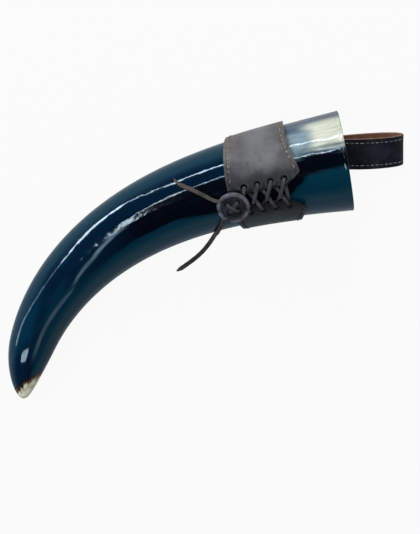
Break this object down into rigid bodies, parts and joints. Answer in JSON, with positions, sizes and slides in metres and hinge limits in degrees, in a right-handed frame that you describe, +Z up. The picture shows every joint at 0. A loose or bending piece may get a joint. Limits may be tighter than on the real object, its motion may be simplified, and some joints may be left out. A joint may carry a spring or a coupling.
{
  "type": "drinking horn with belt holder",
  "caption": "Curved hollow drinking horn with a flat-cut mouth, held in a leather wrap laced over a gap, with a round leather disc on the lace ends and a sewn strap loop for a belt.",
  "frame": {"origin": "on the table, under the centre of the box round the horn and its holder, free lace ends left out", "axes": "+Z up; +X along the longest extent, toward the horn's mouth and the belt loop; +Y toward the outside of the horn's curve"},
  "size_m": [0.3178, 0.1638, 0.0887],
  "materials": {
    "black_horn": "polished",
    "brown_leather": "smooth, worn",
    "tan_lining": "matte flesh side",
    "lace_leather": "matte",
    "disc_leather": "burnished rim",
    "dark_strap": "smooth, semi-matte",
    "tan_thread": "waxed",
    "pale_thread": "waxed"
  },
  "bodies": {
    "horn": {"horn": "black_horn"},
    "holder": {"wrap_leather": "brown_leather", "wrap_lining": "tan_lining", "wrap_mouth_stitching": "tan_thread", "wrap_tip_stitching": "tan_thread", "lacing": "lace_leather", "strap_inner_tab": "dark_strap", "strap_inner_tab_lining": "tan_lining", "strap_outer_tab": "dark_strap", "strap_outer_tab_lining": "tan_lining", "tab_upper_stitching": "pale_thread", "tab_lower_stitching": "pale_thread"},
    "belt_loop": {"belt_loop": "dark_strap", "belt_loop_lining": "tan_lining", "loop_upper_stitching": "pale_thread", "loop_lower_stitching": "pale_thread"},
    "button": {"lace_button": "disc_leather", "button_lace_under": "lace_leather", "button_lace_over": "lace_leather", "lace_tail_upper": "lace_leather", "lace_tail_lower": "lace_leather"}
  },
  "joints": [
    {"name": "holder_slide", "type": "hinge", "parent": "horn", "child": "holder", "pos_m": [0.04249, -0.25822, 0.0948], "axis": [-0.1864, 0.1685, 0.9679], "range_deg": [0, 20.4]},
    {"name": "belt_loop_flex", "type": "hinge", "parent": "holder", "child": "belt_loop", "pos_m": [0.07185, 0.05597, 0.00644], "axis": [0.0994, 0.9624, 0.253], "range_deg": [0, 60]},
    {"name": "button_lift", "type": "hinge", "parent": "holder", "child": "button", "pos_m": [0.02654, 0.03007, 0.07388], "axis": [-0.1592, 0.9185, 0.3619], "range_deg": [0, 25]}
  ]
}
